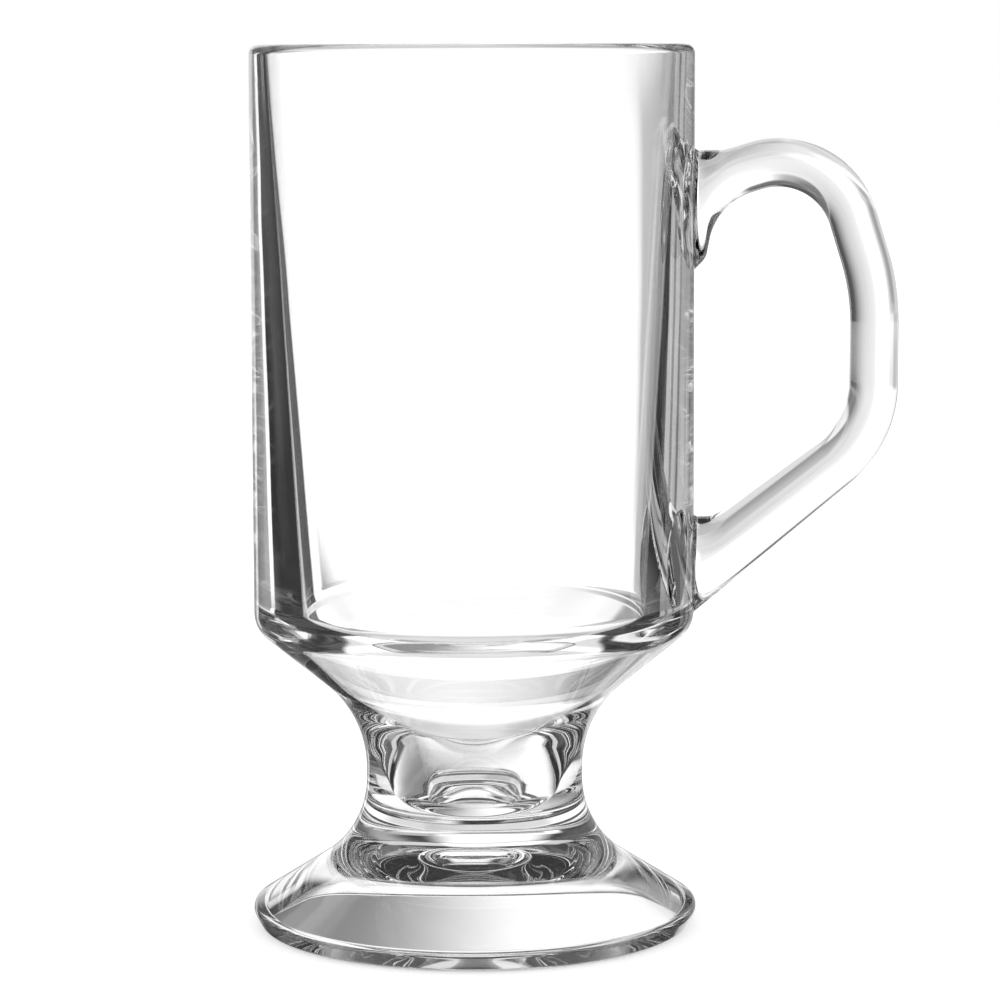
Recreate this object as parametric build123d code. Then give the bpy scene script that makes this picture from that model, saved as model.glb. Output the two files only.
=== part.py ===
from build123d import *
import math
import os

# Irish coffee glass mug in millimetres: the foot rests on z = 0, the axis of the bowl is Z and the handle
# points along +X. Bowl, stem and foot are turned about the axis; the handle is a bent glass strap.

# Heights, stacked from the table up
FOOT_HEIGHT = 13.6          # table to the joint between foot and stem
STEM_HEIGHT = 3.2           # joint with the foot to the joint with the bowl
BOWL_HEIGHT = 129.2         # joint with the stem to the top of the rim

# Outside of the bowl
BOWL_RADIUS = 36.5
SHOULDER_RISE = 33.5        # bottom of the bowl to the corner where the wall turns into the funnel
SHOULDER_FILLET = 4.6
NECK_RISE = 18.4            # bottom of the bowl to the corner where the funnel turns into the waist
NECK_FILLET = 19.2
LIP_OUTSIDE = 1.6           # rounding of the rim towards the drinker
LIP_INSIDE = 0.8

# Hollow of the bowl: a drafted cup, a funnel and the narrow well that the funnel runs into
RIM_WALL = 2.6
SHOULDER_WALL = 7.7
CREASE_RISE = 35.9          # bottom of the bowl to the corner between cup and funnel
CREASE_FILLET = 5.2
FLOOR = 1.4                 # bottom of the bowl to the floor of the well
WELL_DEPTH = 10.8
WELL_WALL = 7.5             # glass round the mouth of the well, measured in from the waist
WELL_DRAFT = 2.5            # how much narrower the well is at its floor
WELL_FILLET = 32.0
FLOOR_FILLET = 5.0

# Waist and foot
WAIST_RADIUS = 18.0
FLARE_RISE = 1.9            # joint between foot and stem to the corner where the waist flares out
FLARE_FILLET = 16.6
FOOT_RADIUS = 37.4
FOOT_EDGE_HEIGHT = 3.2
FOOT_EDGE_FILLET = 1.3
BASE_INSET = 1.7            # how far the resting ring draws in under the edge of the foot
BASE_FILLET = 0.8
REST_WIDTH = 2.5            # flat ring that touches the table
REST_FILLET = 1.0
DOME_CAP = 1.4              # hollow under the foot: glass left over its middle, inside the foot
DOME_FILLET = 44.0

# Handle, from the wall of the bowl outwards, from the rim down and from the shoulder up
HANDLE_REACH = 33.7         # wall to the outermost point of the grip
HANDLE_THICKNESS = 8.0      # in the plane of the handle
HANDLE_DEPTH = 10.5         # across that plane
HANDLE_EDGE = 3.4           # rounding of the four long edges
UPPER_ROOT_DROP = 17.4      # rim to the top edge of the upper root
UPPER_ROOT_HEIGHT = 19.6
UPPER_ROOT_RUN = 4.7        # level stretch beside the wall
UPPER_ROOT_FILLET = 6.0
PAD_THICKNESS = 1.9         # lower end of the tongue by which the upper root lies down along the wall
PAD_GAIN = 1.7              # how much thicker the tongue is where it leaves the strap
PAD_FILLET = 10.0
TOP_CORNER_REACH = 24.9
TOP_CORNER_DROP = 11.2
TOP_CORNER_RADIUS = 17.0    # the radii of the bends are those of the outer side
BACK_CORNER_DROP = 39.5
BACK_CORNER_RADIUS = 40.0
ELBOW_RISE = 29.9
ELBOW_RADIUS = 21.4
LOWER_ROOT_RISE = 1.7       # shoulder to the lower edge of the lower root
LOWER_ROOT_HEIGHT = 16.1
LOWER_ROOT_RUN = 3.4
LOWER_ROOT_FILLET = 5.2

# Shares that keep roundings clear of each other
RUN_SHARE = 0.98            # most of a run that the roundings at its two ends take up
EDGE_SHARE = 0.45           # most of the strap's thickness that one long edge takes up
END_ROUND = 1.2             # roundness of the strap's ends in its plane, against its long edges

foot_top = FOOT_HEIGHT
bowl_bottom = foot_top + STEM_HEIGHT
rim = bowl_bottom + BOWL_HEIGHT
shoulder = bowl_bottom + SHOULDER_RISE


def turn_at(corners, index):
    """Angle in radians by which a closed outline turns at one of its corners."""
    before, here, after = (Vector(*corners[(index + step) % len(corners)]) for step in (-1, 0, 1))
    return math.radians((here - before).get_angle(after - here))


def rounded_face(corners, radii):
    """Face inside a closed outline; roundings give way to each other where a run is too short for both."""
    count = len(corners)
    tangents = [radius * math.tan(turn_at(corners, i) / 2) for i, radius in enumerate(radii)]
    ease = [1.0] * count
    for i in range(count):
        j = (i + 1) % count
        run = (Vector(*corners[j]) - Vector(*corners[i])).length
        if tangents[i] + tangents[j] > RUN_SHARE * run:
            share = RUN_SHARE * run / (tangents[i] + tangents[j])
            ease[i] = min(ease[i], share)
            ease[j] = min(ease[j], share)
    fitted = [radius * factor for radius, factor in zip(radii, ease)]
    return make_face(FilletPolyline(*corners, radius=fitted, close=True))


def inset_corner(before, here, after, distance):
    """Corner of the line that runs parallel to two runs, a distance to the right of them."""
    first = (Vector(*here) - Vector(*before)).normalized()
    second = (Vector(*after) - Vector(*here)).normalized()
    right_first = Vector(first.Y, -first.X)
    right_second = Vector(second.Y, -second.X)
    middle = (right_first + right_second).normalized()
    corner = Vector(*here) + middle * (distance / middle.dot(right_first))
    return (corner.X, corner.Y)


def outside_outline():
    """Corners and roundings of the outside of bowl, stem and foot, from the table up to the rim."""
    corners = [
        (FOOT_RADIUS - BASE_INSET, 0),
        (FOOT_RADIUS, FOOT_EDGE_HEIGHT),
        (WAIST_RADIUS, foot_top + FLARE_RISE),
        (WAIST_RADIUS, bowl_bottom + NECK_RISE),
        (BOWL_RADIUS, shoulder),
        (BOWL_RADIUS, rim),
    ]
    radii = [BASE_FILLET, FOOT_EDGE_FILLET, FLARE_FILLET, NECK_FILLET, SHOULDER_FILLET, LIP_OUTSIDE]
    return corners, radii


def hollow_outline():
    """Corners and roundings of the hollow, from the rim down to the floor of the well."""
    well_radius = WAIST_RADIUS - WELL_WALL
    floor = bowl_bottom + FLOOR
    corners = [
        (BOWL_RADIUS - RIM_WALL, rim),
        (BOWL_RADIUS - SHOULDER_WALL, bowl_bottom + CREASE_RISE),
        (well_radius, floor + WELL_DEPTH),
        (well_radius - WELL_DRAFT, floor),
        (0, floor),
    ]
    return corners, [LIP_INSIDE, CREASE_FILLET, WELL_FILLET, FLOOR_FILLET, 0]


def turned(corners, radii):
    """Solid turned about the axis from a closed half outline."""
    return revolve(Plane.XZ * rounded_face(corners, radii), Axis.Z)


def make_body():
    """Bowl, stem and foot in one, before they are parted at their joints."""
    outside, outside_radii = outside_outline()
    hollow, hollow_radii = hollow_outline()
    dome_radius = FOOT_RADIUS - BASE_INSET - REST_WIDTH
    dome_height = foot_top - DOME_CAP
    dome = [(0, dome_height), (dome_radius / 2, dome_height), (dome_radius, 0)]
    dome_radii = [0, DOME_FILLET, REST_FILLET]
    return turned(dome + outside + hollow, dome_radii + outside_radii + hollow_radii)


def make_blank():
    """The body's outside as a full solid, which the roots of the handle are cut back to."""
    outside, radii = outside_outline()
    return turned([(0, 0)] + outside + [(0, rim)], [0] + radii + [0])


def handle_outline(end_round):
    """Corners and roundings of the strap seen from the side, with both ends hidden in the bowl."""
    hidden = BOWL_RADIUS - HANDLE_THICKNESS
    root_top = rim - UPPER_ROOT_DROP
    root_bottom = root_top - UPPER_ROOT_HEIGHT
    lower_bottom = shoulder + LOWER_ROOT_RISE
    lower_top = lower_bottom + LOWER_ROOT_HEIGHT
    grip = BOWL_RADIUS + HANDLE_REACH

    # Outer side, from the upper root over the top and down to the lower root
    rise = (BOWL_RADIUS + UPPER_ROOT_RUN, root_top)
    top = (BOWL_RADIUS + TOP_CORNER_REACH, rim - TOP_CORNER_DROP)
    back = (grip, rim - BACK_CORNER_DROP)
    elbow = (grip, shoulder + ELBOW_RISE)
    slope = (elbow[1] - lower_bottom) / HANDLE_REACH
    sunk = (BOWL_RADIUS - RIM_WALL, lower_bottom - slope * RIM_WALL)
    outer = [(hidden, root_top), rise, top, back, elbow, sunk, (hidden, sunk[1])]
    outer_radii = [end_round, UPPER_ROOT_FILLET, TOP_CORNER_RADIUS, BACK_CORNER_RADIUS, ELBOW_RADIUS,
                   end_round, end_round]

    # Inner side, back from the lower root to the tongue of the upper root
    inner_elbow = inset_corner(back, elbow, sunk, HANDLE_THICKNESS)
    inner_back = inset_corner(top, back, elbow, HANDLE_THICKNESS)
    inner_top = inset_corner(rise, top, back, HANDLE_THICKNESS)
    top_slope = (top[1] - rise[1]) / (top[0] - rise[0])
    pad_face = BOWL_RADIUS + PAD_THICKNESS
    pad_neck = pad_face + PAD_GAIN
    pad_top = (pad_neck, inner_top[1] - top_slope * (inner_top[0] - pad_neck))
    inner = [
        (hidden, lower_top),
        (BOWL_RADIUS + LOWER_ROOT_RUN, lower_top),
        inner_elbow,
        inner_back,
        inner_top,
        pad_top,
        (pad_face, root_bottom + PAD_THICKNESS),
        (BOWL_RADIUS - PAD_THICKNESS, root_bottom - PAD_THICKNESS),
        (hidden, root_bottom - PAD_THICKNESS),
    ]
    inner_radii = [end_round, LOWER_ROOT_FILLET, ELBOW_RADIUS - HANDLE_THICKNESS,
                   BACK_CORNER_RADIUS - HANDLE_THICKNESS, TOP_CORNER_RADIUS - HANDLE_THICKNESS, PAD_FILLET,
                   end_round, end_round, end_round]
    return outer + inner, outer_radii + inner_radii


def make_handle():
    """Glass strap with rounded edges, cut back to the outside of the bowl at both roots."""
    edge = min(HANDLE_EDGE, EDGE_SHARE * HANDLE_THICKNESS, EDGE_SHARE * HANDLE_DEPTH)
    strap = extrude(Plane.XZ * rounded_face(*handle_outline(END_ROUND * edge)), HANDLE_DEPTH / 2, both=True)
    sides = strap.faces().filter_by(Axis.Y)
    strap = fillet(sides.edges(), edge)
    return strap - make_blank()


def make_parts():
    """The four pieces of the mug by their names."""
    body = make_body()
    stem_joint = Plane.XY.offset(foot_top)
    bowl_joint = Plane.XY.offset(bowl_bottom)
    lower = split(body, bisect_by=bowl_joint, keep=Keep.BOTTOM)
    return {
        "bowl": split(body, bisect_by=bowl_joint, keep=Keep.TOP),
        "stem": split(lower, bisect_by=stem_joint, keep=Keep.TOP),
        "foot": split(lower, bisect_by=stem_joint, keep=Keep.BOTTOM),
        "handle": make_handle(),
    }


os.makedirs("parts", exist_ok=True)
for name, piece in make_parts().items():
    export_step(piece, f"parts/{name}.step")
    print(f"{name}: {piece.volume / 1000:.2f} cm3")
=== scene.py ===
"""Irish coffee mug in clear pressed glass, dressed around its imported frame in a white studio."""
import logging
import math
from dataclasses import dataclass
from enum import Enum, IntEnum

import bpy
import numpy as np
from mathutils import Matrix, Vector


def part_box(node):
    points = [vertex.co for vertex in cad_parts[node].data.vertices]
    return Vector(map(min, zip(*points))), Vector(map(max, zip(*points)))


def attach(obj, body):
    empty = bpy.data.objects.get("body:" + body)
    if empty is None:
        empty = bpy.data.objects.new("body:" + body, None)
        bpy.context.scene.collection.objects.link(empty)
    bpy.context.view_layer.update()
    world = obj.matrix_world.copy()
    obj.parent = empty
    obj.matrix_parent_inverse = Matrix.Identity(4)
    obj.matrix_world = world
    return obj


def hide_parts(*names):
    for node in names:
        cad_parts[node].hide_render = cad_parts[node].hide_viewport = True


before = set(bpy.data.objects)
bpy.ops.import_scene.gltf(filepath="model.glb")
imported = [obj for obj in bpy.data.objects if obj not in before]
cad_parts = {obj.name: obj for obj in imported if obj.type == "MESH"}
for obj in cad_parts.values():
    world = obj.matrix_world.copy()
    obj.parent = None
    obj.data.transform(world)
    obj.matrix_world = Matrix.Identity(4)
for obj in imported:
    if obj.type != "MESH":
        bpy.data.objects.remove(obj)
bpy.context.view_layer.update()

log = logging.getLogger("mug")

MM = 0.001  # metres in a millimetre; shapes are worked out in millimetres
WELD = 1e-5  # millimetres within which two points of a seam are one
OFF_GRID = 0.37  # keeps round sizes off the edges of the weld's grid
ARC_STEP = math.radians(2.5)
ARC_POINTS = 5  # fewest points on an arc
RUN_STEP = 2.4  # longest step along a straight run, in millimetres
ROUND_COLUMNS = 320  # columns of a turned piece, all the way round
DISC_RINGS = (1.0, 0.66, 0.33, 0.0)  # shares of its radius at which a fused disc has points
ROOT_RINGS = 7  # rings from a root's footprint to its middle
PRESSING_WAVES = ((5, 21.0, 0.0), (8, -34.0, 1.3), (3, 9.5, 0.4))  # waves round, run down, phase
FILM_FINENESS = 2.5  # how much finer the film of handling is than the waves in the glass
FILM_DETAIL = 3.0
FILM_RANGE = (0.5, 0.8)  # noise between which the film goes from none to full
TURNED_BACK = 0.5  # glossy depth above which light has been reflected
ONE_WALL_DEPTH = 2.5  # transmission depth below which light has crossed one wall at most
WHITE = (1.0, 1.0, 1.0, 1.0)
BLACK = (0.0, 0.0, 0.0, 1.0)
BODY = "root"


class Skin(IntEnum):
    """What a stretch of glass meets; the value is the material slot that it takes."""

    AIR = 0
    FUSED = 1


class Root(Enum):
    """End of the handle; the value is 1 where the strap's outer side lies above, -1 below."""

    UPPER = 1
    LOWER = -1


@dataclass(frozen=True)
class Places:
    """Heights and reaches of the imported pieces, in millimetres."""

    rim: float
    bowl_bottom: float
    foot_top: float
    bowl_radius: float
    grip: float
    handle_depth: float

    @classmethod
    def read(cls) -> "Places":
        """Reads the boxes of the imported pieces.

        Returns:
            The places.
        """
        bowl_low, bowl_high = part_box("bowl")
        handle_low, handle_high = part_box("handle")
        return cls(
            rim=bowl_high.z / MM,
            bowl_bottom=bowl_low.z / MM,
            foot_top=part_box("foot")[1].z / MM,
            bowl_radius=bowl_high.y / MM,
            grip=handle_high.x / MM,
            handle_depth=(handle_high.y - handle_low.y) / MM,
        )


@dataclass
class Patch:
    """Grid of surface points, rows by columns, with the outward normals of the glass."""

    points: np.ndarray
    normals: np.ndarray
    skin: Skin = Skin.AIR
    keep: np.ndarray | None = None

    def cells(self) -> np.ndarray:
        """Numbers the corners of the grid's cells.

        Returns:
            Four point numbers for each cell that is kept.
        """
        rows, columns = self.points.shape[:2]
        number = np.arange(rows * columns).reshape(rows, columns)
        cells = np.stack([number[:-1, :-1], number[:-1, 1:],
                          number[1:, 1:], number[1:, :-1]], axis=-1)
        return cells.reshape(-1, 4) if self.keep is None else cells[self.keep]


def weld(name: str, patches: list[Patch], finishes: list[bpy.types.Material]) -> bpy.types.Object:
    """Joins patches along their common edges into one closed mesh.

    Points that fall in the same cell of a very fine lattice become one vertex. A cell whose
    area vector, the cross product of its diagonals, points against the patch normals is turned
    round, and a cell that closes to a point at a pole drops its double corner.

    Args:
        name: Name of the piece.
        patches: Surfaces whose edges meet.
        finishes: Materials in the order of the skins.

    Returns:
        The new object, linked to the scene, at the origin.
    """
    points = np.concatenate([patch.points.reshape(-1, 3) for patch in patches])
    normals = np.concatenate([patch.normals.reshape(-1, 3) for patch in patches])
    counts = [patch.points.shape[0] * patch.points.shape[1] for patch in patches]
    firsts = np.cumsum([0] + counts[:-1])
    cells = np.concatenate([patch.cells() + first for patch, first in zip(patches, firsts)])
    skins = np.concatenate([np.full(len(patch.cells()), int(patch.skin)) for patch in patches])

    corner = points[cells]
    area = np.cross(corner[:, 2] - corner[:, 0], corner[:, 3] - corner[:, 1])
    inward = np.einsum("ij,ij->i", area, normals[cells].sum(axis=1)) < 0
    cells[inward] = cells[inward][:, ::-1]

    lattice = np.round(points / WELD + OFF_GRID).astype(np.int64)
    _, chosen, vertex = np.unique(lattice, axis=0, return_index=True, return_inverse=True)
    vertex = vertex.reshape(-1)
    corners = vertex[cells]
    single = corners != np.roll(corners, 1, axis=1)
    whole = single.sum(axis=1) >= 3
    cells, corners, single, skins = cells[whole], corners[whole], single[whole], skins[whole]
    sides = single.sum(axis=1)

    mesh = bpy.data.meshes.new(name)
    mesh.vertices.add(len(chosen))
    mesh.vertices.foreach_set("co", (points[chosen] * MM).ravel())
    mesh.loops.add(int(sides.sum()))
    mesh.loops.foreach_set("vertex_index", corners[single].astype(np.int32))
    mesh.polygons.add(len(sides))
    starts = np.concatenate([[0], np.cumsum(sides)[:-1]])
    mesh.polygons.foreach_set("loop_start", starts.astype(np.int32))
    mesh.polygons.foreach_set("material_index", skins.astype(np.int32))
    mesh.update(calc_edges=True)
    mesh.polygons.foreach_set("use_smooth", np.ones(len(sides), dtype=bool))
    mesh.normals_split_custom_set(normals[cells][single])
    if mesh.validate():
        log.warning("%s had faces that were mended", name)
    for finish in finishes:
        mesh.materials.append(finish)
    piece = bpy.data.objects.new(name, mesh)
    bpy.context.scene.collection.objects.link(piece)
    return piece


class RoundedLine:
    """Straight runs joined by arcs that touch both of them, in a plane, sampled from end to end.

    At a corner that turns by an angle, an arc of radius r starts r times the tangent of half
    that angle before the corner. Its points are the start plus r sin(a) along the run plus
    r (1 - cos(a)) across it.
    """

    def __init__(self, corners: list[tuple[float, float]], radii: list[float]) -> None:
        """Samples the line.

        Args:
            corners: Ends and corners of the runs.
            radii: Roundings of the corners between the two ends.
        """
        runs = np.diff(np.array(corners, dtype=float), axis=0)
        ways = runs / np.linalg.norm(runs, axis=1, keepdims=True)
        reach = np.array(corners[0], dtype=float)
        points, tangents, bends = [reach[None]], [ways[:1]], []
        rounded = np.array(corners[1:-1], dtype=float)
        for corner, radius, before, after in zip(rounded, radii, ways, ways[1:]):
            across = before[0] * after[1] - before[1] * after[0]
            turn = math.atan2(abs(across), float(before @ after))
            side = np.copysign(1.0, across) * np.array([-before[1], before[0]])
            start = corner - before * radius * math.tan(turn / 2)
            self._add_run(points, tangents, start)
            first = sum(map(len, points)) - 1
            count = max(ARC_POINTS, math.ceil(turn / ARC_STEP) + 1)
            swing = np.linspace(0.0, turn, count)[1:, None]
            points.append(start + radius * (np.sin(swing) * before + (1 - np.cos(swing)) * side))
            tangents.append(np.cos(swing) * before + np.sin(swing) * side)
            bends.append((first, sum(map(len, points)) - 1))
        self._add_run(points, tangents, np.array(corners[-1], dtype=float))
        self.points = np.concatenate(points)
        self.tangents = np.concatenate(tangents)
        steps = np.linalg.norm(np.diff(self.points, axis=0), axis=1)
        self.lengths = np.concatenate([[0.0], np.cumsum(steps)])
        self.bends = [(self.lengths[first], self.lengths[last]) for first, last in bends]

    @staticmethod
    def _add_run(points: list[np.ndarray], tangents: list[np.ndarray], end: np.ndarray) -> None:
        """Adds even steps from the last point to the end of a run.

        Args:
            points: Samples so far, to be added to.
            tangents: Directions at those samples, to be added to.
            end: Where the run ends.
        """
        start = points[-1][-1]
        run = end - start
        length = float(np.linalg.norm(run))
        count = max(1, math.ceil(length / RUN_STEP))
        points.append(start + run * (np.arange(1, count + 1) / count)[:, None])
        tangents.append(np.repeat(run[None] / length, count, axis=0))

    def at(self, length: np.ndarray) -> np.ndarray:
        """Points at distances from the start of the line, read off between its samples."""
        columns = [np.interp(length, self.lengths, column) for column in self.points.T]
        return np.stack(columns, axis=-1)


@dataclass
class TurnedShape:
    """Half outline of bowl, stem and foot, from the underside over the rim to the well's floor."""

    places: Places
    dome_height: float = 12.2
    dome_top: float = 16.6  # radius at which the dome's slope meets its top
    dome_radius: float = 33.2
    dome_fillet: float = 44.0
    rest_fillet: float = 1.0
    base_inset: float = 1.7
    base_fillet: float = 0.8
    foot_radius: float = 37.4
    foot_edge: float = 3.2
    foot_fillet: float = 1.3
    waist_radius: float = 18.0
    flare_rise: float = 1.9
    flare_fillet: float = 16.6
    neck_rise: float = 18.4
    neck_fillet: float = 19.2
    shoulder_rise: float = 33.5
    shoulder_fillet: float = 4.6
    lip_outside: float = 1.6
    lip_inside: float = 0.8
    rim_wall: float = 2.6
    shoulder_wall: float = 7.7
    crease_rise: float = 35.9
    crease_fillet: float = 5.2
    floor: float = 1.4
    well_depth: float = 10.8
    well_wall: float = 7.5
    well_draft: float = 2.5
    well_fillet: float = 32.0
    floor_fillet: float = 5.0

    def __post_init__(self) -> None:
        """Samples the outline, with the glass on its left, and finds where the rim is."""
        at = self.places
        bottom, outer = at.bowl_bottom, at.bowl_radius
        well = self.waist_radius - self.well_wall
        corners = [
            (0.0, self.dome_height),
            (self.dome_top, self.dome_height),
            (self.dome_radius, 0.0),
            (self.foot_radius - self.base_inset, 0.0),
            (self.foot_radius, self.foot_edge),
            (self.waist_radius, at.foot_top + self.flare_rise),
            (self.waist_radius, bottom + self.neck_rise),
            (outer, bottom + self.shoulder_rise),
            (outer, at.rim),
            (outer - self.rim_wall, at.rim),
            (outer - self.shoulder_wall, bottom + self.crease_rise),
            (well, bottom + self.floor + self.well_depth),
            (well - self.well_draft, bottom + self.floor),
            (0.0, bottom + self.floor),
        ]
        radii = [self.dome_fillet, self.rest_fillet, self.base_fillet, self.foot_fillet,
                 self.flare_fillet, self.neck_fillet, self.shoulder_fillet, self.lip_outside,
                 self.lip_inside, self.crease_fillet, self.well_fillet, self.floor_fillet]
        line = RoundedLine(corners, radii)
        normals = np.stack([line.tangents[:, 1], -line.tangents[:, 0]], axis=1)
        self.line = np.concatenate([line.points, normals], axis=1)
        self.top = int(np.argmax(self.line[:, 1]))
        self.base = int(np.flatnonzero(self.line[:self.top, 1] <= 0.0).max())

    def outside(self, heights: np.ndarray) -> np.ndarray:
        """Rows of the outside at given heights.

        Args:
            heights: Heights between the table and the rim.

        Returns:
            Radius, height and the two parts of the outward normal, one row for each height.
        """
        wall = self.line[self.base:self.top + 1]
        columns = [np.interp(heights, wall[:, 1], wall[:, i]) for i in range(4)]
        rows = np.stack(columns, axis=-1)
        rows[:, 2:] /= np.linalg.norm(rows[:, 2:], axis=1, keepdims=True)
        return rows

    def between(self, low: float, high: float) -> np.ndarray:
        """Rows of the outside from one height to another, both included.

        Args:
            low: Lower height.
            high: Upper height.

        Returns:
            Rows as outside gives them.
        """
        wall = self.line[self.base:self.top + 1]
        inner = wall[(wall[:, 1] > low + WELD) & (wall[:, 1] < high - WELD)]
        ends = self.outside(np.array([low, high]))
        return np.concatenate([ends[:1], inner, ends[1:]])

    def wall_x(self, y: np.ndarray, z: np.ndarray) -> np.ndarray:
        """Reach of the outside along +X: the root of its radius squared less y squared."""
        radius = self.outside(np.ravel(z))[:, 0].reshape(np.shape(z))
        return np.sqrt(radius**2 - y**2)


def turn_angles() -> np.ndarray:
    """Angles of the columns of a turned piece, from behind the handle round to behind it again."""
    return (np.arange(ROUND_COLUMNS + 1) - ROUND_COLUMNS / 2) * (2 * math.pi / ROUND_COLUMNS)


def spin(rows: np.ndarray, angles: np.ndarray, skin: Skin = Skin.AIR) -> Patch:
    """Turns a half outline: x and y are the radius times the cosine and sine of the angle.

    Args:
        rows: Radius, height and normal of each row.
        angles: Angle of each column.
        skin: What the surface meets.

    Returns:
        The turned patch.
    """
    cosine, sine, level = np.cos(angles), np.sin(angles), np.ones(len(angles))
    out, up, normal_out, normal_up = (rows[:, i, None] for i in range(4))
    points = np.stack([out * cosine, out * sine, up * level], axis=-1)
    normals = np.stack([normal_out * cosine, normal_out * sine, normal_up * level], axis=-1)
    return Patch(points, normals, skin)


def joint_disc(radius: float, height: float, up: float) -> Patch:
    """Fused disc turned from its edge to the axis; up is 1 at a piece's top, -1 at its bottom."""
    rows = np.array([(radius * share, height, 0.0, up) for share in DISC_RINGS])
    return spin(rows, turn_angles(), Skin.FUSED)


@dataclass
class Handle:
    """Bent glass strap: a rounded section carried along between an outer and an inner side line."""

    shape: TurnedShape
    thickness: float = 8.0
    squareness: float = 2.1  # power of the section's rounded outline; 2 is an ellipse
    weld_radius: float = 0.7
    weld_hold: float = 5.0  # distance from the wall over which the strap takes its curve
    upper_root_drop: float = 17.4
    upper_root_height: float = 19.6
    upper_root_run: float = 4.7
    upper_root_fillet: float = 6.0
    pad_thickness: float = 1.9
    pad_gain: float = 1.7
    pad_fillet: float = 10.0
    pad_tip_fillet: float = 3.0
    top_corner_reach: float = 24.9
    top_corner_drop: float = 11.2
    top_corner_radius: float = 17.0
    back_corner_drop: float = 39.5
    back_corner_radius: float = 40.0
    elbow_rise: float = 29.9
    elbow_radius: float = 21.4
    lower_root_rise: float = 1.7
    lower_root_height: float = 16.1
    lower_root_run: float = 3.4
    lower_root_fillet: float = 5.2
    border_columns: int = 20  # cells of the bowl's grid that a root's window is wide
    border_rows: int = 24
    border_spare: float = 1.6  # bowl wall between a root and the edge of its window
    ring_steps: tuple[int, ...] = (16, 44, 44, 4, 26, 6, 26, 48, 16)  # a bend, a run and so on
    outer_matched: tuple[int, ...] = (0, 2, 3, 4, 5)  # bends of the outer line, and the bends
    inner_matched: tuple[int, ...] = (0, 3, 4, 5, 7)  # of the inner line that face them

    def __post_init__(self) -> None:
        """Works out the side lines and the rings of the strap."""
        self.outer, self.inner = self._side_lines()
        self.along, self.across = self.border()
        self.points = self._rings()

    def border(self) -> tuple[np.ndarray, np.ndarray]:
        """Points round the edge of a square of side 2, in the steps of the bowl's grid.

        Returns:
            Distances from the middle, first towards the outer side of the strap, then across it.
        """
        half = np.arange(self.border_columns // 2) / (self.border_columns / 2)
        side = 1 - 2 * np.arange(self.border_rows) / self.border_rows
        width = 1 - 2 * np.arange(self.border_columns) / self.border_columns
        one = np.ones
        along = [one(len(half)), side, -one(len(width)), -side, one(len(half)), one(1)]
        across = [half, one(len(side)), width, -one(len(side)), half - 1, np.zeros(1)]
        return np.concatenate(along), np.concatenate(across)

    def _side_lines(self) -> tuple[RoundedLine, RoundedLine]:
        """Outer and inner side of the strap seen along Y, each from one weld to the other.

        Returns:
            The two lines, both from the upper root to the lower one.
        """
        at, wall = self.shape.places, self.shape.places.bowl_radius
        shoulder = at.bowl_bottom + self.shape.shoulder_rise
        root_top = at.rim - self.upper_root_drop
        root_bottom = root_top - self.upper_root_height
        low_bottom = shoulder + self.lower_root_rise
        low_top = low_bottom + self.lower_root_height
        start = 2 * self.weld_radius

        rise = np.array([wall + self.upper_root_run, root_top])
        top = np.array([wall + self.top_corner_reach, at.rim - self.top_corner_drop])
        back = np.array([at.grip, at.rim - self.back_corner_drop])
        elbow = np.array([at.grip, shoulder + self.elbow_rise])
        foot = np.array([wall, low_bottom])
        outer = [(wall, root_top + start), (wall, root_top), rise, top, back, elbow, foot,
                 foot - [0, start]]
        outer_radii = [self.weld_radius, self.upper_root_fillet, self.top_corner_radius,
                       self.back_corner_radius, self.elbow_radius, self.weld_radius]

        inner_top = self._inset(rise, top, back)
        slope = (top - rise)[1] / (top - rise)[0]
        pad_face = wall + self.pad_thickness
        neck = pad_face + self.pad_gain
        inner = [
            (wall, root_bottom - start),
            (wall, root_bottom),
            (pad_face, root_bottom + self.pad_thickness),
            (neck, inner_top[1] - slope * (inner_top[0] - neck)),
            inner_top,
            self._inset(top, back, elbow),
            self._inset(back, elbow, foot),
            (wall + self.lower_root_run, low_top),
            (wall, low_top),
            (wall, low_top + start),
        ]
        thin = self.thickness
        inner_radii = [self.weld_radius, self.pad_tip_fillet, self.pad_fillet,
                       self.top_corner_radius - thin, self.back_corner_radius - thin,
                       self.elbow_radius - thin, self.lower_root_fillet, self.weld_radius]
        return RoundedLine(outer, outer_radii), RoundedLine(inner, inner_radii)

    def _inset(self, before: np.ndarray, here: np.ndarray, after: np.ndarray) -> np.ndarray:
        """Corner of the line that runs parallel to two runs, one thickness to the right of them.

        Args:
            before: Start of the first run.
            here: Corner between the runs.
            after: End of the second run.

        Returns:
            The corner of the parallel line.
        """
        ways = [(b - a) / np.linalg.norm(b - a) for a, b in ((before, here), (here, after))]
        rights = [np.array([way[1], -way[0]]) for way in ways]
        middle = (rights[0] + rights[1]) / np.linalg.norm(rights[0] + rights[1])
        return here + middle * self.thickness / (middle @ rights[0])

    def _stations(self) -> tuple[np.ndarray, np.ndarray]:
        """Pairs of points of the two side lines that face each other.

        The bends of the two lines are matched one to one, and the stretches between them are
        shared out evenly.

        Returns:
            Points on the outer line and on the inner line.
        """
        outer_bends = [self.outer.bends[i] for i in self.outer_matched]
        inner_bends = [self.inner.bends[i] for i in self.inner_matched]
        ticks = np.concatenate([[0], np.cumsum(self.ring_steps)])
        count = np.arange(ticks[-1] + 1)
        outer = self.outer.at(np.interp(count, ticks, np.ravel(outer_bends)))
        inner = self.inner.at(np.interp(count, ticks, np.ravel(inner_bends)))
        return outer, inner

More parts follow.
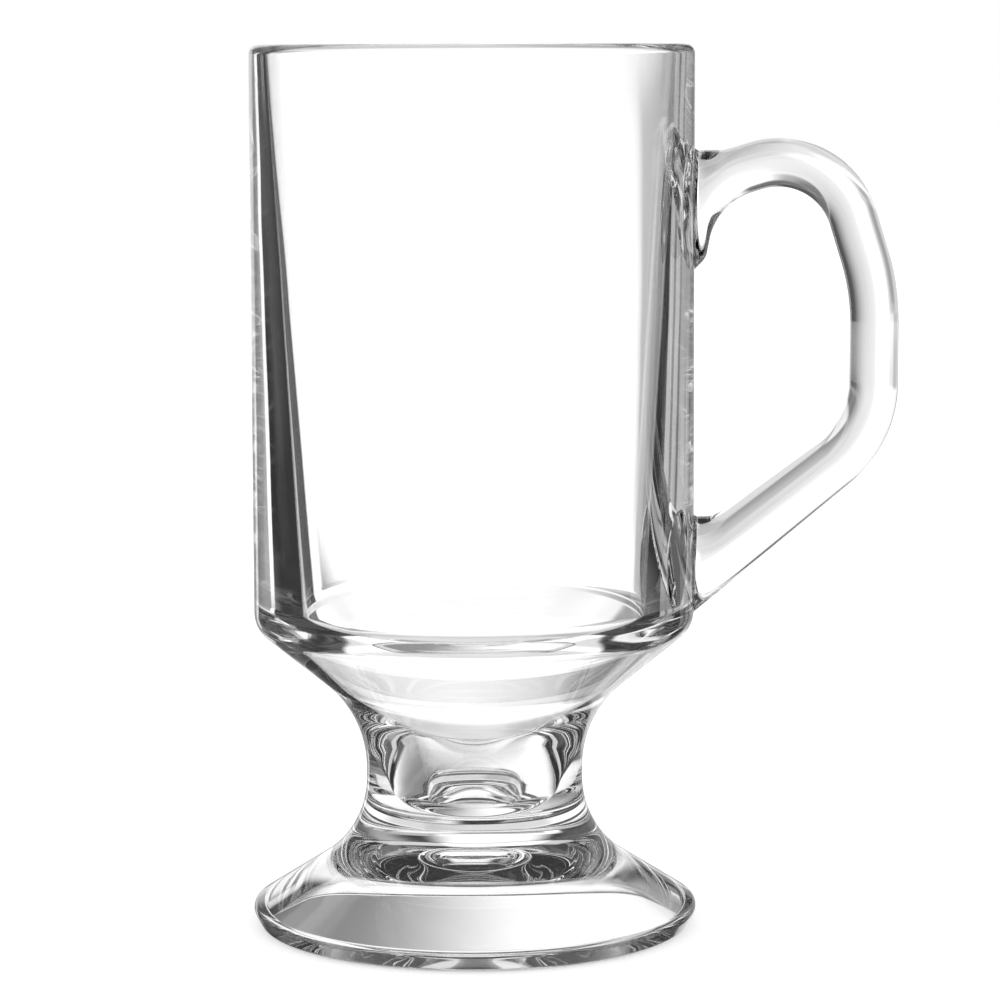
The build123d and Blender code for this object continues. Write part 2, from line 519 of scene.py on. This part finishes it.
    def _rings(self) -> np.ndarray:
        """Carries the section along the strap.

        Round a ring the section is half the thickness times |cos v|^p and half the depth times
        |sin v|^p, each with its own sign, where p is 2 over the squareness. Near the wall the
        depth grows by a fillet, and the points move onto the wall's circle.

        Returns:
            Points, rings by steps round a ring.
        """
        outer, inner = self._stations()
        middle, half = (outer + inner) / 2, (outer - inner) / 2
        wall = self.shape.places.bowl_radius
        near = np.clip(self.weld_radius - (middle[:, 0] - wall), 0.0, self.weld_radius)
        flare = self.weld_radius - np.sqrt(self.weld_radius**2 - near**2)
        angle = np.arctan2(self.across, self.along)
        power = 2 / self.squareness
        over = np.sign(np.cos(angle)) * np.abs(np.cos(angle))**power
        wide = np.sign(np.sin(angle)) * np.abs(np.sin(angle))**power
        plan = middle[:, None, :] + half[:, None, :] * over[:, None]
        y = (self.shape.places.handle_depth / 2 + flare)[:, None] * wide
        hold = np.clip(1 - (plan[..., 0] - wall) / self.weld_hold, 0.0, 1.0)
        hold = hold**2 * (3 - 2 * hold)
        x = plan[..., 0] + hold * (self.shape.wall_x(y, plan[..., 1]) - wall)
        return np.stack([x, y, plan[..., 1]], axis=-1)

    def footprint(self, root: Root) -> np.ndarray:
        """Ring of points where a root meets the wall of the bowl."""
        return self.points[0 if root is Root.UPPER else -1]

    def _normals(self) -> np.ndarray:
        """Outward normals of the rings: the cross product of the steps along and round the strap.

        Returns:
            Unit normals, with those of the two ends taken from the wall, which the welds run into.
        """
        along = np.gradient(self.points, axis=0)
        ring = self.points[:, :-1]
        round_ring = np.roll(ring, -1, axis=1) - np.roll(ring, 1, axis=1)
        round_ring = np.concatenate([round_ring, round_ring[:, :1]], axis=1)
        normals = np.cross(round_ring, along)
        normals /= np.linalg.norm(normals, axis=-1, keepdims=True)
        middle = self.points[:, :-1].mean(axis=1, keepdims=True)
        if np.einsum("ijk,ijk->", normals, self.points - middle) < 0:
            normals = -normals
        for end in (0, -1):
            normals[end] = wall_normals(self.shape, self.points[end])
        return normals

    def build(self, finishes: list[bpy.types.Material]) -> bpy.types.Object:
        """Makes the strap with its two fused ends.

        Args:
            finishes: Materials in the order of the skins.

        Returns:
            The piece.
        """
        discs = [root_disc(self.shape, self.footprint(root)) for root in Root]
        caps = [Patch(disc.points, -disc.normals, Skin.FUSED) for disc in discs]
        return weld("glass_handle", [Patch(self.points, self._normals()), *caps], finishes)


def wall_normals(shape: TurnedShape, points: np.ndarray) -> np.ndarray:
    """Outward normals of the bowl's outside at points on it.

    Args:
        shape: Outline of the bowl.
        points: Points on the outside.

    Returns:
        One normal for each point.
    """
    rows = shape.outside(points[..., 2].ravel()).reshape(*points.shape[:-1], 4)
    angle = np.arctan2(points[..., 1], points[..., 0])
    out, up = rows[..., 2], rows[..., 3]
    return np.stack([out * np.cos(angle), out * np.sin(angle), up], axis=-1)


def on_wall(shape: TurnedShape, angle: np.ndarray, z: np.ndarray, skin: Skin) -> Patch:
    """Patch of the bowl's outside from angles and heights.

    x and y are the radius at that height times the cosine and sine of the angle.

    Args:
        shape: Outline of the bowl.
        angle: Angles round the axis.
        z: Heights, in a grid of the same size.
        skin: What the surface meets.

    Returns:
        The patch.
    """
    radius = shape.outside(z.ravel())[:, 0].reshape(z.shape)
    points = np.stack([radius * np.cos(angle), radius * np.sin(angle), z], axis=-1)
    return Patch(points, wall_normals(shape, points), skin)


def root_disc(shape: TurnedShape, ring: np.ndarray) -> Patch:
    """Bowl's outside inside the footprint of a root, shrunk ring by ring to its middle.

    Args:
        shape: Outline of the bowl.
        ring: Footprint of the root.

    Returns:
        The disc, with outward normals of the bowl.
    """
    angle, z = np.arctan2(ring[:, 1], ring[:, 0]), ring[:, 2]
    middle = (z.min() + z.max()) / 2
    share = np.linspace(1.0, 0.0, ROOT_RINGS)[:, None]
    return on_wall(shape, share * angle, middle + share * (z - middle), Skin.FUSED)


@dataclass
class Bowl:
    """Drinking bowl: straight cup, funnel and well, with a window in its wall for each root."""

    shape: TurnedShape
    handle: Handle
    ring_rows: int = 7  # rings of wall between a window's edge and the root inside it
    ripple: float = 0.02  # height of the waves that pressing leaves on the inside
    fade_in: float = 12.0  # lengths down from the rim and up from the floor's middle
    fade_out: float = 25.0  # over which the waves come and go

    def _window(self, root: Root) -> tuple[float, float]:
        """Lower and upper height of the window for a root."""
        z = self.handle.footprint(root)[:, 2]
        return z.min() - self.handle.border_spare, z.max() + self.handle.border_spare

    def _window_patches(self, root: Root, angles: np.ndarray) -> list[Patch]:
        """Wall between a window's edge and the footprint of its root, and the fused disc inside.

        A point of the ring is a share of the way from a point of the window's edge to the
        footprint's point in the same direction, in angle and height.

        Args:
            root: End of the handle.
            angles: Angles of the bowl's columns.

        Returns:
            The ring and the disc.
        """
        low, high = self._window(root)
        middle, half = (low + high) / 2, (high - low) / 2
        first = ROUND_COLUMNS // 2
        steps = np.rint(self.handle.across * self.handle.border_columns / 2).astype(int)
        edge_angle = angles[first + steps]
        edge_z = middle + root.value * self.handle.along * half
        ring = self.handle.footprint(root)
        share = np.linspace(0.0, 1.0, self.ring_rows)[:, None]
        angle = edge_angle + share * (np.arctan2(ring[:, 1], ring[:, 0]) - edge_angle)
        z = edge_z + share * (ring[:, 2] - edge_z)
        return [on_wall(self.shape, angle, z, Skin.AIR), root_disc(self.shape, ring)]

    def _outside(self, angles: np.ndarray) -> list[Patch]:
        """Outside of the bowl from the joint with the stem to the top of the rim.

        Args:
            angles: Angles of the columns.

        Returns:
            The wall with two windows, and the patches that fill the windows.
        """
        rows = self.shape.between(self.shape.places.bowl_bottom, self.shape.places.rim)
        patches = []
        for root in Root:
            low, high = self._window(root)
            inside = self.shape.outside(np.linspace(low, high, self.handle.border_rows + 1))
            below, above = rows[rows[:, 1] < low - WELD], rows[rows[:, 1] > high + WELD]
            rows = np.concatenate([below, inside, above])
            patches += self._window_patches(root, angles)
        wall = spin(rows, angles)
        wall.keep = np.ones((len(rows) - 1, len(angles) - 1), dtype=bool)
        first = ROUND_COLUMNS // 2
        half = self.handle.border_columns // 2
        height = (rows[:-1, 1] + rows[1:, 1]) / 2
        for root in Root:
            low, high = self._window(root)
            columns = np.arange(first - half, first + half)
            wall.keep[np.ix_((height > low) & (height < high), columns)] = False
        return [wall, *patches]

    def _hollow(self, angles: np.ndarray) -> Patch:
        """Inside of the bowl from the top of the rim to the middle of the floor.

        Long low waves, sums of sines of the angle and of the length down the wall, shift it along
        its normal, and the normals tilt by the slope of the waves.

        Args:
            angles: Angles of the columns.

        Returns:
            The patch.
        """
        rows = self.shape.line[self.shape.top:]
        patch = spin(rows, angles)
        steps = np.linalg.norm(np.diff(rows[:, :2], axis=0), axis=1)
        length = np.concatenate([[0.0], np.cumsum(steps)])[:, None]
        fade = np.clip(length / self.fade_in, 0, 1)
        fade = fade * np.clip((length[-1] - length) / self.fade_out, 0, 1)
        waves = sum(np.sin(around * angles + length / run + phase)
                    for around, run, phase in PRESSING_WAVES)
        wave = self.ripple * fade * waves / len(PRESSING_WAVES)
        patch.points = patch.points + wave[..., None] * patch.normals
        down = np.gradient(patch.points, axis=0)
        rings = patch.points[:, :-1]
        turn = np.roll(rings, -1, axis=1) - np.roll(rings, 1, axis=1)
        turn = np.concatenate([turn, turn[:, :1]], axis=1)
        tilted = np.cross(down, turn)
        size = np.linalg.norm(tilted, axis=-1, keepdims=True)
        tilted = np.where(size > WELD, tilted / np.maximum(size, WELD), patch.normals)
        facing = np.sign(np.sum(tilted * patch.normals, axis=-1, keepdims=True))
        patch.normals = np.where(fade[..., None] > 0, tilted * facing, patch.normals)
        return patch

    def build(self, finishes: list[bpy.types.Material]) -> bpy.types.Object:
        """Makes the bowl as one closed piece.

        Args:
            finishes: Materials in the order of the skins.

        Returns:
            The piece.
        """
        angles = turn_angles()
        bottom = self.shape.places.bowl_bottom
        disc = joint_disc(self.shape.outside(np.array([bottom]))[0, 0], bottom, -1)
        return weld("glass_bowl", [*self._outside(angles), self._hollow(angles), disc], finishes)


@dataclass
class Stem:
    """Short solid waist between the bowl and the foot."""

    shape: TurnedShape

    def build(self, finishes: list[bpy.types.Material]) -> bpy.types.Object:
        """Makes the waist with its two fused ends.

        Args:
            finishes: Materials in the order of the skins.

        Returns:
            The piece.
        """
        rows = self.shape.between(self.shape.places.foot_top, self.shape.places.bowl_bottom)
        ends = [joint_disc(*rows[0, :2], -1), joint_disc(*rows[-1, :2], 1)]
        return weld("glass_stem", [spin(rows, turn_angles()), *ends], finishes)


@dataclass
class Foot:
    """Flared foot with a resting ring and a domed hollow underneath."""

    shape: TurnedShape

    def build(self, finishes: list[bpy.types.Material]) -> bpy.types.Object:
        """Makes the foot with its fused top.

        Args:
            finishes: Materials in the order of the skins.

        Returns:
            The piece.
        """
        under = self.shape.line[:self.shape.base + 1]
        side = self.shape.between(0.0, self.shape.places.foot_top)
        rows = np.concatenate([under, side[1:]])
        top = joint_disc(*rows[-1, :2], 1)
        return weld("glass_foot", [spin(rows, turn_angles()), top], finishes)


@dataclass(frozen=True)
class ClearGlass:
    """Clear soda-lime glass with faint waves from its making and a trace of haze."""

    name: str
    waves: float  # waves to a metre
    wave_height: float  # metres
    haze: float  # most roughness that handling leaves
    index: float = 1.52

    @staticmethod
    def surface_group() -> bpy.types.NodeTree:
        """Makes the surface that the glass finishes share.

        The waves are a low noise, and there is haze where a finer noise is high.

        Returns:
            The group, from a place on the piece to its height and roughness.
        """
        tree = bpy.data.node_groups.new("glass_surface", "ShaderNodeTree")
        tree.interface.new_socket("Place", in_out="INPUT", socket_type="NodeSocketVector")
        for name in ("Waves", "Haze"):
            tree.interface.new_socket(name, in_out="INPUT", socket_type="NodeSocketFloat")
        for name in ("Height", "Roughness"):
            tree.interface.new_socket(name, in_out="OUTPUT", socket_type="NodeSocketFloat")
        given, result = tree.nodes.new("NodeGroupInput"), tree.nodes.new("NodeGroupOutput")
        wave, film = tree.nodes.new("ShaderNodeTexNoise"), tree.nodes.new("ShaderNodeTexNoise")
        for noise, detail in ((wave, 0.0), (film, FILM_DETAIL)):
            noise.inputs["Detail"].default_value = detail
            tree.links.new(given.outputs["Place"], noise.inputs["Vector"])
        tree.links.new(given.outputs["Waves"], wave.inputs["Scale"])
        finer = math_node(tree, "MULTIPLY", given.outputs["Waves"], FILM_FINENESS)
        tree.links.new(finer, film.inputs["Scale"])
        patches = tree.nodes.new("ShaderNodeMapRange")
        patches.inputs["From Min"].default_value = FILM_RANGE[0]
        patches.inputs["From Max"].default_value = FILM_RANGE[1]
        tree.links.new(film.outputs["Fac"], patches.inputs["Value"])
        rough = math_node(tree, "MULTIPLY", patches.outputs["Result"], given.outputs["Haze"])
        tree.links.new(wave.outputs["Fac"], result.inputs["Height"])
        tree.links.new(rough, result.inputs["Roughness"])
        return tree

    def material(self, surface: bpy.types.NodeTree) -> bpy.types.Material:
        """Makes the material.

        Args:
            surface: The shared surface group.

        Returns:
            A glass whose bump and roughness follow the piece's own coordinates.
        """
        glass = bpy.data.materials.new(self.name)
        glass.use_nodes = True
        tree = glass.node_tree
        shader = tree.nodes["Principled BSDF"]
        shader.inputs["Base Color"].default_value = WHITE
        shader.inputs["Transmission Weight"].default_value = 1.0
        shader.inputs["IOR"].default_value = self.index
        made = tree.nodes.new("ShaderNodeGroup")
        made.node_tree = surface
        made.inputs["Waves"].default_value = self.waves
        made.inputs["Haze"].default_value = self.haze
        tree.links.new(tree.nodes.new("ShaderNodeTexCoord").outputs["Object"], made.inputs["Place"])
        bump = tree.nodes.new("ShaderNodeBump")
        bump.inputs["Distance"].default_value = self.wave_height
        tree.links.new(made.outputs["Height"], bump.inputs["Height"])
        tree.links.new(bump.outputs["Normal"], shader.inputs["Normal"])
        tree.links.new(made.outputs["Roughness"], shader.inputs["Roughness"])
        return glass


@dataclass(frozen=True)
class FusedJoint:
    """Place where glass runs on into the next piece, so that no surface shows."""

    name: str = "fused_joint"

    def material(self) -> bpy.types.Material:
        """Makes the material.

        Returns:
            A material that lets everything through unbent.
        """
        joint = bpy.data.materials.new(self.name)
        joint.use_nodes = True
        joint.node_tree.nodes["Principled BSDF"].inputs["Alpha"].default_value = 0.0
        return joint


@dataclass(frozen=True)
class StudioFloor:
    """Pale matt floor that is white where light falls freely, and a glowing disc under the foot
    with painted shade that only the glass shows.
    """

    radius: float = 4.0
    drop: float = 0.0002  # below the foot, so that the two never share a plane
    colour: float = 0.8
    glow: float = 0.45
    sides: int = 64  # straight sides that stand for a circle
    # Painted shade and light on a glowing disc under the foot: grey on the left, brighter than
    # white on the right.
    shade_radius: float = 0.033
    shade_left: float = -0.0216  # places between which the painted shade under the foot turns to white
    shade_right: float = 0.0144
    shade: float = 0.3
    white: float = 1.2

    def _disc(self, name: str, radius: float,
              height: float) -> tuple[bpy.types.Object, bpy.types.Material]:
        """Makes a round level piece from the circle x = r cos(a), y = r sin(a).

        Args:
            name: Name of the piece.
            radius: Radius of the circle.
            height: Its height.

        Returns:
            The piece and its new material.
        """
        angle = np.linspace(0, 2 * math.pi, self.sides + 1)[:-1]
        level = np.full(self.sides, height)
        ring = np.stack([radius * np.cos(angle), radius * np.sin(angle), level], axis=-1)
        mesh = bpy.data.meshes.new(name)
        mesh.from_pydata(ring.tolist(), [], [list(range(self.sides))])
        disc = bpy.data.objects.new(name, mesh)
        bpy.context.scene.collection.objects.link(disc)
        paper = bpy.data.materials.new(name)
        paper.use_nodes = True
        shader = paper.node_tree.nodes["Principled BSDF"]
        shader.inputs["Base Color"].default_value = (self.colour,) * 3 + (1.0,)
        shader.inputs["Roughness"].default_value = 1.0
        shader.inputs["Specular IOR Level"].default_value = 0.0
        shader.inputs["Emission Color"].default_value = WHITE
        mesh.materials.append(paper)
        return disc, paper

    def build(self) -> None:
        """Makes the floor, and a glowing round under the foot with painted shade that shows only
        through the glass.
        """
        floor, paper = self._disc("studio_floor", self.radius, -self.drop)
        shader = paper.node_tree.nodes["Principled BSDF"]
        shader.inputs["Emission Strength"].default_value = self.glow
        floor.visible_transmission = False
        floor.visible_glossy = False

        # This disc glows with painted shade, grey on the left to brighter than white on the right,
        # and is seen only through the glass.
        under, paper = self._disc("painted_shade_under_foot", self.shade_radius, -self.drop / 2)
        for kind in ("camera", "diffuse", "glossy", "shadow"):
            setattr(under, f"visible_{kind}", False)
        tree = paper.node_tree
        shader = tree.nodes["Principled BSDF"]
        shader.inputs["Base Color"].default_value = BLACK
        shader.inputs["Emission Strength"].default_value = 1.0
        place = tree.nodes.new("ShaderNodeSeparateXYZ")
        tree.links.new(tree.nodes.new("ShaderNodeTexCoord").outputs["Object"], place.inputs[0])
        slope = tree.nodes.new("ShaderNodeMapRange")
        slope.interpolation_type = "SMOOTHSTEP"
        slope.inputs["From Min"].default_value = self.shade_left
        slope.inputs["From Max"].default_value = self.shade_right
        slope.inputs["To Min"].default_value = self.shade
        slope.inputs["To Max"].default_value = self.white
        tree.links.new(place.outputs["X"], slope.inputs["Value"])
        tree.links.new(slope.outputs["Result"], shader.inputs["Emission Color"])


class Sight(Enum):
    """Which light from the glass a panel shows to."""

    ANY = "any"
    REFLECTED = "reflected"  # turned back by a surface at least once
    ONE_WALL = "one wall"  # straight through one thickness, as in the handle


@dataclass(frozen=True)
class Panel:
    """Stretch of the surroundings with its own shade, placed by its direction from the mug."""

    left: float  # azimuths in degrees to the right of straight behind the mug
    right: float
    low: float  # elevations in degrees
    high: float
    shade: float
    soft: float = 1.0  # degrees over which its upright edges fade
    soft_up: float = 1.0  # degrees over which its level edges fade
    sight: Sight = Sight.ANY
    lean: float = 0.0  # degrees to the right for each degree up from its middle

    def sockets(self) -> dict[str, float]:
        """Values of the mask's sockets, by name."""
        return {
            "Middle": (self.left + self.right) / 2,
            "Half Width": (self.right - self.left) / 2,
            "Soft": self.soft,
            "Level": (self.low + self.high) / 2,
            "Half Height": (self.high - self.low) / 2,
            "Soft Up": self.soft_up,
            "Lean": self.lean,
        }

    @staticmethod
    def group() -> bpy.types.NodeTree:
        """Makes the mask of a panel: 1 within its half width and height, fading at the edges.

        Returns:
            The group, from a direction and a panel's sizes to its mask.
        """
        tree = bpy.data.node_groups.new("studio_panel", "ShaderNodeTree")
        for name in ("Azimuth", "Middle", "Half Width", "Soft",
                     "Elevation", "Level", "Half Height", "Soft Up", "Lean"):
            tree.interface.new_socket(name, in_out="INPUT", socket_type="NodeSocketFloat")
        tree.interface.new_socket("Mask", in_out="OUTPUT", socket_type="NodeSocketFloat")
        given, result = tree.nodes.new("NodeGroupInput").outputs, tree.nodes.new("NodeGroupOutput")
        above = math_node(tree, "SUBTRACT", given["Elevation"], given["Level"])
        aside = math_node(tree, "SUBTRACT", given["Azimuth"], given["Middle"])
        shift = math_node(tree, "MULTIPLY", given["Lean"], above)
        aside = math_node(tree, "SUBTRACT", aside, shift)
        fades = []
        for angle, half, soft in ((aside, given["Half Width"], given["Soft"]),
                                  (above, given["Half Height"], given["Soft Up"])):
            fade = tree.nodes.new("ShaderNodeMapRange")
            fade.interpolation_type = "SMOOTHSTEP"
            tree.links.new(math_node(tree, "ABSOLUTE", angle), fade.inputs["Value"])
            tree.links.new(math_node(tree, "ADD", half, soft), fade.inputs["From Min"])
            tree.links.new(math_node(tree, "SUBTRACT", half, soft), fade.inputs["From Max"])
            fades.append(fade.outputs["Result"])
        tree.links.new(math_node(tree, "MULTIPLY", *fades), result.inputs["Mask"])
        return tree


def math_node(tree: bpy.types.NodeTree, operation: str,
              *values: bpy.types.NodeSocket | float) -> bpy.types.NodeSocket:
    """Adds a Math node.

    Args:
        tree: Node tree to add to.
        operation: Name of the operation.
        values: Sockets or plain numbers for its inputs.

    Returns:
        The node's output.
    """
    node = tree.nodes.new("ShaderNodeMath")
    node.operation = operation
    for socket, value in zip(node.inputs, values):
        if isinstance(value, bpy.types.NodeSocket):
            tree.links.new(value, socket)
        else:
            socket.default_value = value
    return node.outputs[0]


def graded(low: float, high: float, soft_up: float,
           *steps: tuple[float, float]) -> tuple[Panel, ...]:
    """Panels that shade the handle more and more to the right, from (azimuth, shade) steps."""
    return tuple(Panel(left, FULL, low, high, shade, HANDLE_SOFT, soft_up, Sight.ONE_WALL)
                 for left, shade in steps)


FULL = 190.0  # azimuth past straight ahead, so that no seam shows there
HANDLE_SOFT = 3.0  # degrees over which the steps of the handle's shading fade

BACKDROP = (
    # White all round, and more so behind the bowl.
    Panel(-FULL, FULL, -95, 95, 1.2),
    Panel(-27, 0, -16, -4.5, 1.55, 1, 1.5),
    Panel(-5, 18, -16, -5, 1.55, 1, 1, lean=-2),
    # Grey below, and dark overhead and far to the left.
    Panel(-40, 45, -95, -25, 0.78, 4, 3),
    Panel(-FULL, FULL, 36, 96, 0.12, 1, 6),
    Panel(-FULL, -22, 29, 96, 0.10, 4, 3),
    Panel(-FULL, -43, -5, 60, 0.15, 4, 3),
    # Grey low on the right, then darker and darker to the right above.
    Panel(5, 26, -62, -28, 0.58, 3, 3),
    Panel(8, FULL, -1, 36, 0.75, 5, 1.2),
    Panel(15, FULL, -1, 36, 0.50, 5, 1.2),
    Panel(24, FULL, -1, 36, 0.26, 5, 1.2),
    Panel(36, FULL, -1, 36, 0.12, 6, 1.2),
    Panel(3, FULL, 14, 36, 0.45, 5, 4),
    Panel(12, FULL, 12, 36, 0.20, 5, 4),
    Panel(-12, FULL, 26.5, 96, 0.12, 4, 3),
    # Grey bands in the right wall, leaning so that they show upright.
    Panel(18.4, 62, -15, -5, 0.72, 0.7, 1, lean=-2),
    Panel(23.5, 62, -15, -5, 0.52, 1, 1, lean=-2),
    Panel(27.2, 62, -15, -5, 0.32, 1, 1, lean=-2),
    Panel(33, 37.5, -15, -5, 0.65, 1, 1, lean=-2),
    Panel(39, 62, -15, -5, 0.22, 1, 1, lean=-2),
    Panel(47, 80, -16, -5, 0.05, 1.5),
)
# Light that was turned back in the glass meets dark surroundings with lighter windows.
TURNED_LIGHT = tuple(
    Panel(*sizes, Sight.REFLECTED) for sizes in (
        (-FULL, FULL, -45, 95, 0.04, 1, 2),
        (-FULL, FULL, 29, 43, 0.70, 1, 2),
        (10, 60, -16, 20, 0.50, 3, 3),
        (-26.5, 10, -16, 45, 1.2, 2, 2),
        (-28, 10, -16, -5, 0.50, 2, 1),
        (5, 25, -38, -14, 1.1, 3, 3),
        (95, 150, -10, 38, 0.8, 2, 2),
        (-160, -115, -10, 30, 0.3, 2, 2),
        (-FULL, FULL, 5, 28, 0.03, 1, 2),
        (-20, 10, 4, 27, 1.1, 5, 3),
        (22, 40, -4.5, 28, 0.42, 6, 1.2),
        (36, 95, -4.5, 28, 0.14, 6, 1.2),
        (-50, -26, -4, 28, 0.10, 5, 1.2),
        (25.5, 28.5, -15, -5, 0.22, 0.7, 1),
        (34.5, 37.5, -15, -5, 0.18, 0.7, 1),
        (43, 75, -16, -5, 0.03, 0.7, 1),
    )
)
# A black band shows in the left wall, between a grey and a white one.
LEFT_BAND = (
    Panel(-30, -14, -20, -12.6, 0.45, 8, 0.8),
    Panel(-38, -26.5, -15, -4.5, 0.03),
    Panel(-26.5, -21, -15, -5, 1.6),
)
# Grip and upper arm, grip under eye level, elbow, lower arm, then the edges of the strap.
HANDLE_LIGHT = (
    *graded(-6, 13, 2, (2, 0.95), (7, 0.86), (12, 0.76), (18, 0.63), (23, 0.46),
            (28, 0.27), (33, 0.10)),
    *graded(-10, -5, 1.5, (2, 0.90), (15, 0.78), (20, 0.58), (25, 0.36), (31, 0.14)),
    *graded(-18, -9, 2, (3, 0.78), (18, 0.62), (22, 0.44), (27, 0.24)),
    *graded(-31, -17, 2, (-3, 0.92), (3, 0.80), (8, 0.67), (13, 0.54), (18, 0.43),
            (23, 0.30)),
    Panel(29, 62, -30, -16.5, 1, 2, 2, Sight.ONE_WALL),
    Panel(-44, -16, -16, -4.5, 0.80, 3, 1.5, Sight.ONE_WALL),
    Panel(-31, -21, -16, -6, 0.40, 3, 2, Sight.ONE_WALL),
)
PANELS = BACKDROP + TURNED_LIGHT + LEFT_BAND + HANDLE_LIGHT  # each is laid over those before


@dataclass(frozen=True)
class Studio:
    """White surroundings with panels that only the glass shows, and a floor."""

    light: float = 1.0
    bounces: int = 40
    panels: tuple[Panel, ...] = PANELS

    def build(self) -> None:
        """Sets the world, the floor and how often light may bounce in the glass."""
        scene = bpy.context.scene
        scene.view_settings.view_transform = "Standard"
        scene.world = self._surroundings()
        for kind in ("max", "glossy", "transmission", "transparent_max"):
            setattr(scene.cycles, f"{kind}_bounces", self.bounces)
        StudioFloor().build()

    def _surroundings(self) -> bpy.types.World:
        """Makes the world: white, with panels for light that the glass lets through or reflects.

        Returns:
            The world.
        """
        world = bpy.data.worlds.new("white_studio")
        world.use_nodes = True
        tree = world.node_tree
        way = tree.nodes.new("ShaderNodeSeparateXYZ")
        tree.links.new(tree.nodes.new("ShaderNodeTexCoord").outputs["Generated"], way.inputs[0])
        azimuth = math_node(tree, "ARCTAN2", way.outputs["X"], way.outputs["Y"])
        azimuth = math_node(tree, "DEGREES", azimuth)
        elevation = math_node(tree, "DEGREES", math_node(tree, "ARCSINE", way.outputs["Z"]))
        path = tree.nodes.new("ShaderNodeLightPath").outputs
        glass = math_node(tree, "MAXIMUM", path["Is Glossy Ray"], path["Is Transmission Ray"])
        turned = math_node(tree, "GREATER_THAN", path["Glossy Depth"], TURNED_BACK)
        reflected = math_node(tree, "MULTIPLY", glass, turned)
        direct = math_node(tree, "SUBTRACT", glass, reflected)
        thin = math_node(tree, "LESS_THAN", path["Transmission Depth"], ONE_WALL_DEPTH)
        one_wall = math_node(tree, "MULTIPLY", direct, thin)
        shows = {Sight.ANY: glass, Sight.REFLECTED: reflected, Sight.ONE_WALL: one_wall}
        mask_group = Panel.group()
        shade = self.light
        for panel in self.panels:
            mask = tree.nodes.new("ShaderNodeGroup")
            mask.node_tree = mask_group
            tree.links.new(azimuth, mask.inputs["Azimuth"])
            tree.links.new(elevation, mask.inputs["Elevation"])
            for name, value in panel.sockets().items():
                mask.inputs[name].default_value = value
            share = math_node(tree, "MULTIPLY", mask.outputs["Mask"], shows[panel.sight])
            darker = math_node(tree, "MULTIPLY_ADD", share, -1.0, 1.0)
            kept = math_node(tree, "MULTIPLY", darker, shade)
            shade = math_node(tree, "MULTIPLY_ADD", share, panel.shade, kept)
        tree.links.new(shade, tree.nodes["Background"].inputs["Color"])
        return world


@dataclass(frozen=True)
class PhotoCamera:
    """Camera at the height of the rim, looking slightly down at the mug."""

    aside: float = 4.4
    away: float = 607.3
    height: float = 145.56
    pitch: float = 7.008  # degrees down
    roll: float = -0.18  # degrees, the picture leans a little
    lens: float = 132.8
    sensor: float = 36.0
    nearest: float = 0.01  # metres from the camera at which things begin to show

    def build(self) -> None:
        """Makes the camera and gives it to the scene."""
        data = bpy.data.cameras.new("photo_camera")
        data.lens = self.lens
        data.sensor_width = self.sensor
        data.clip_start = self.nearest
        camera = bpy.data.objects.new("photo_camera", data)
        place = Matrix.Translation((self.aside * MM, -self.away * MM, self.height * MM))
        tilt = Matrix.Rotation(math.radians(90 - self.pitch), 4, "X")
        camera.matrix_world = place @ tilt @ Matrix.Rotation(math.radians(self.roll), 4, "Z")
        bpy.context.scene.collection.objects.link(camera)
        bpy.context.scene.camera = camera


def main() -> None:
    """Builds the mug piece by piece, then the studio and the camera."""
    logging.basicConfig(level=logging.INFO, format="%(name)s: %(message)s")
    places = Places.read()
    shape = TurnedShape(places)
    handle = Handle(shape)
    joint = FusedJoint().material()
    surface = ClearGlass.surface_group()
    pressed = ClearGlass("pressed_glass", waves=70.0, wave_height=0.00003, haze=0.01)
    drawn = ClearGlass("drawn_glass", waves=110.0, wave_height=0.00004, haze=0.015)
    cast, pulled = pressed.material(surface), drawn.material(surface)
    makers = {"bowl": (Bowl(shape, handle), cast), "stem": (Stem(shape), cast),
              "foot": (Foot(shape), cast), "handle": (handle, pulled)}
    for node, (maker, glass) in makers.items():
        piece = maker.build([glass, joint])
        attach(piece, BODY)
        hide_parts(node)
        log.info("%s: %d faces", piece.name, len(piece.data.polygons))
    Studio().build()
    PhotoCamera().build()


if __name__ == "__main__":
    main()
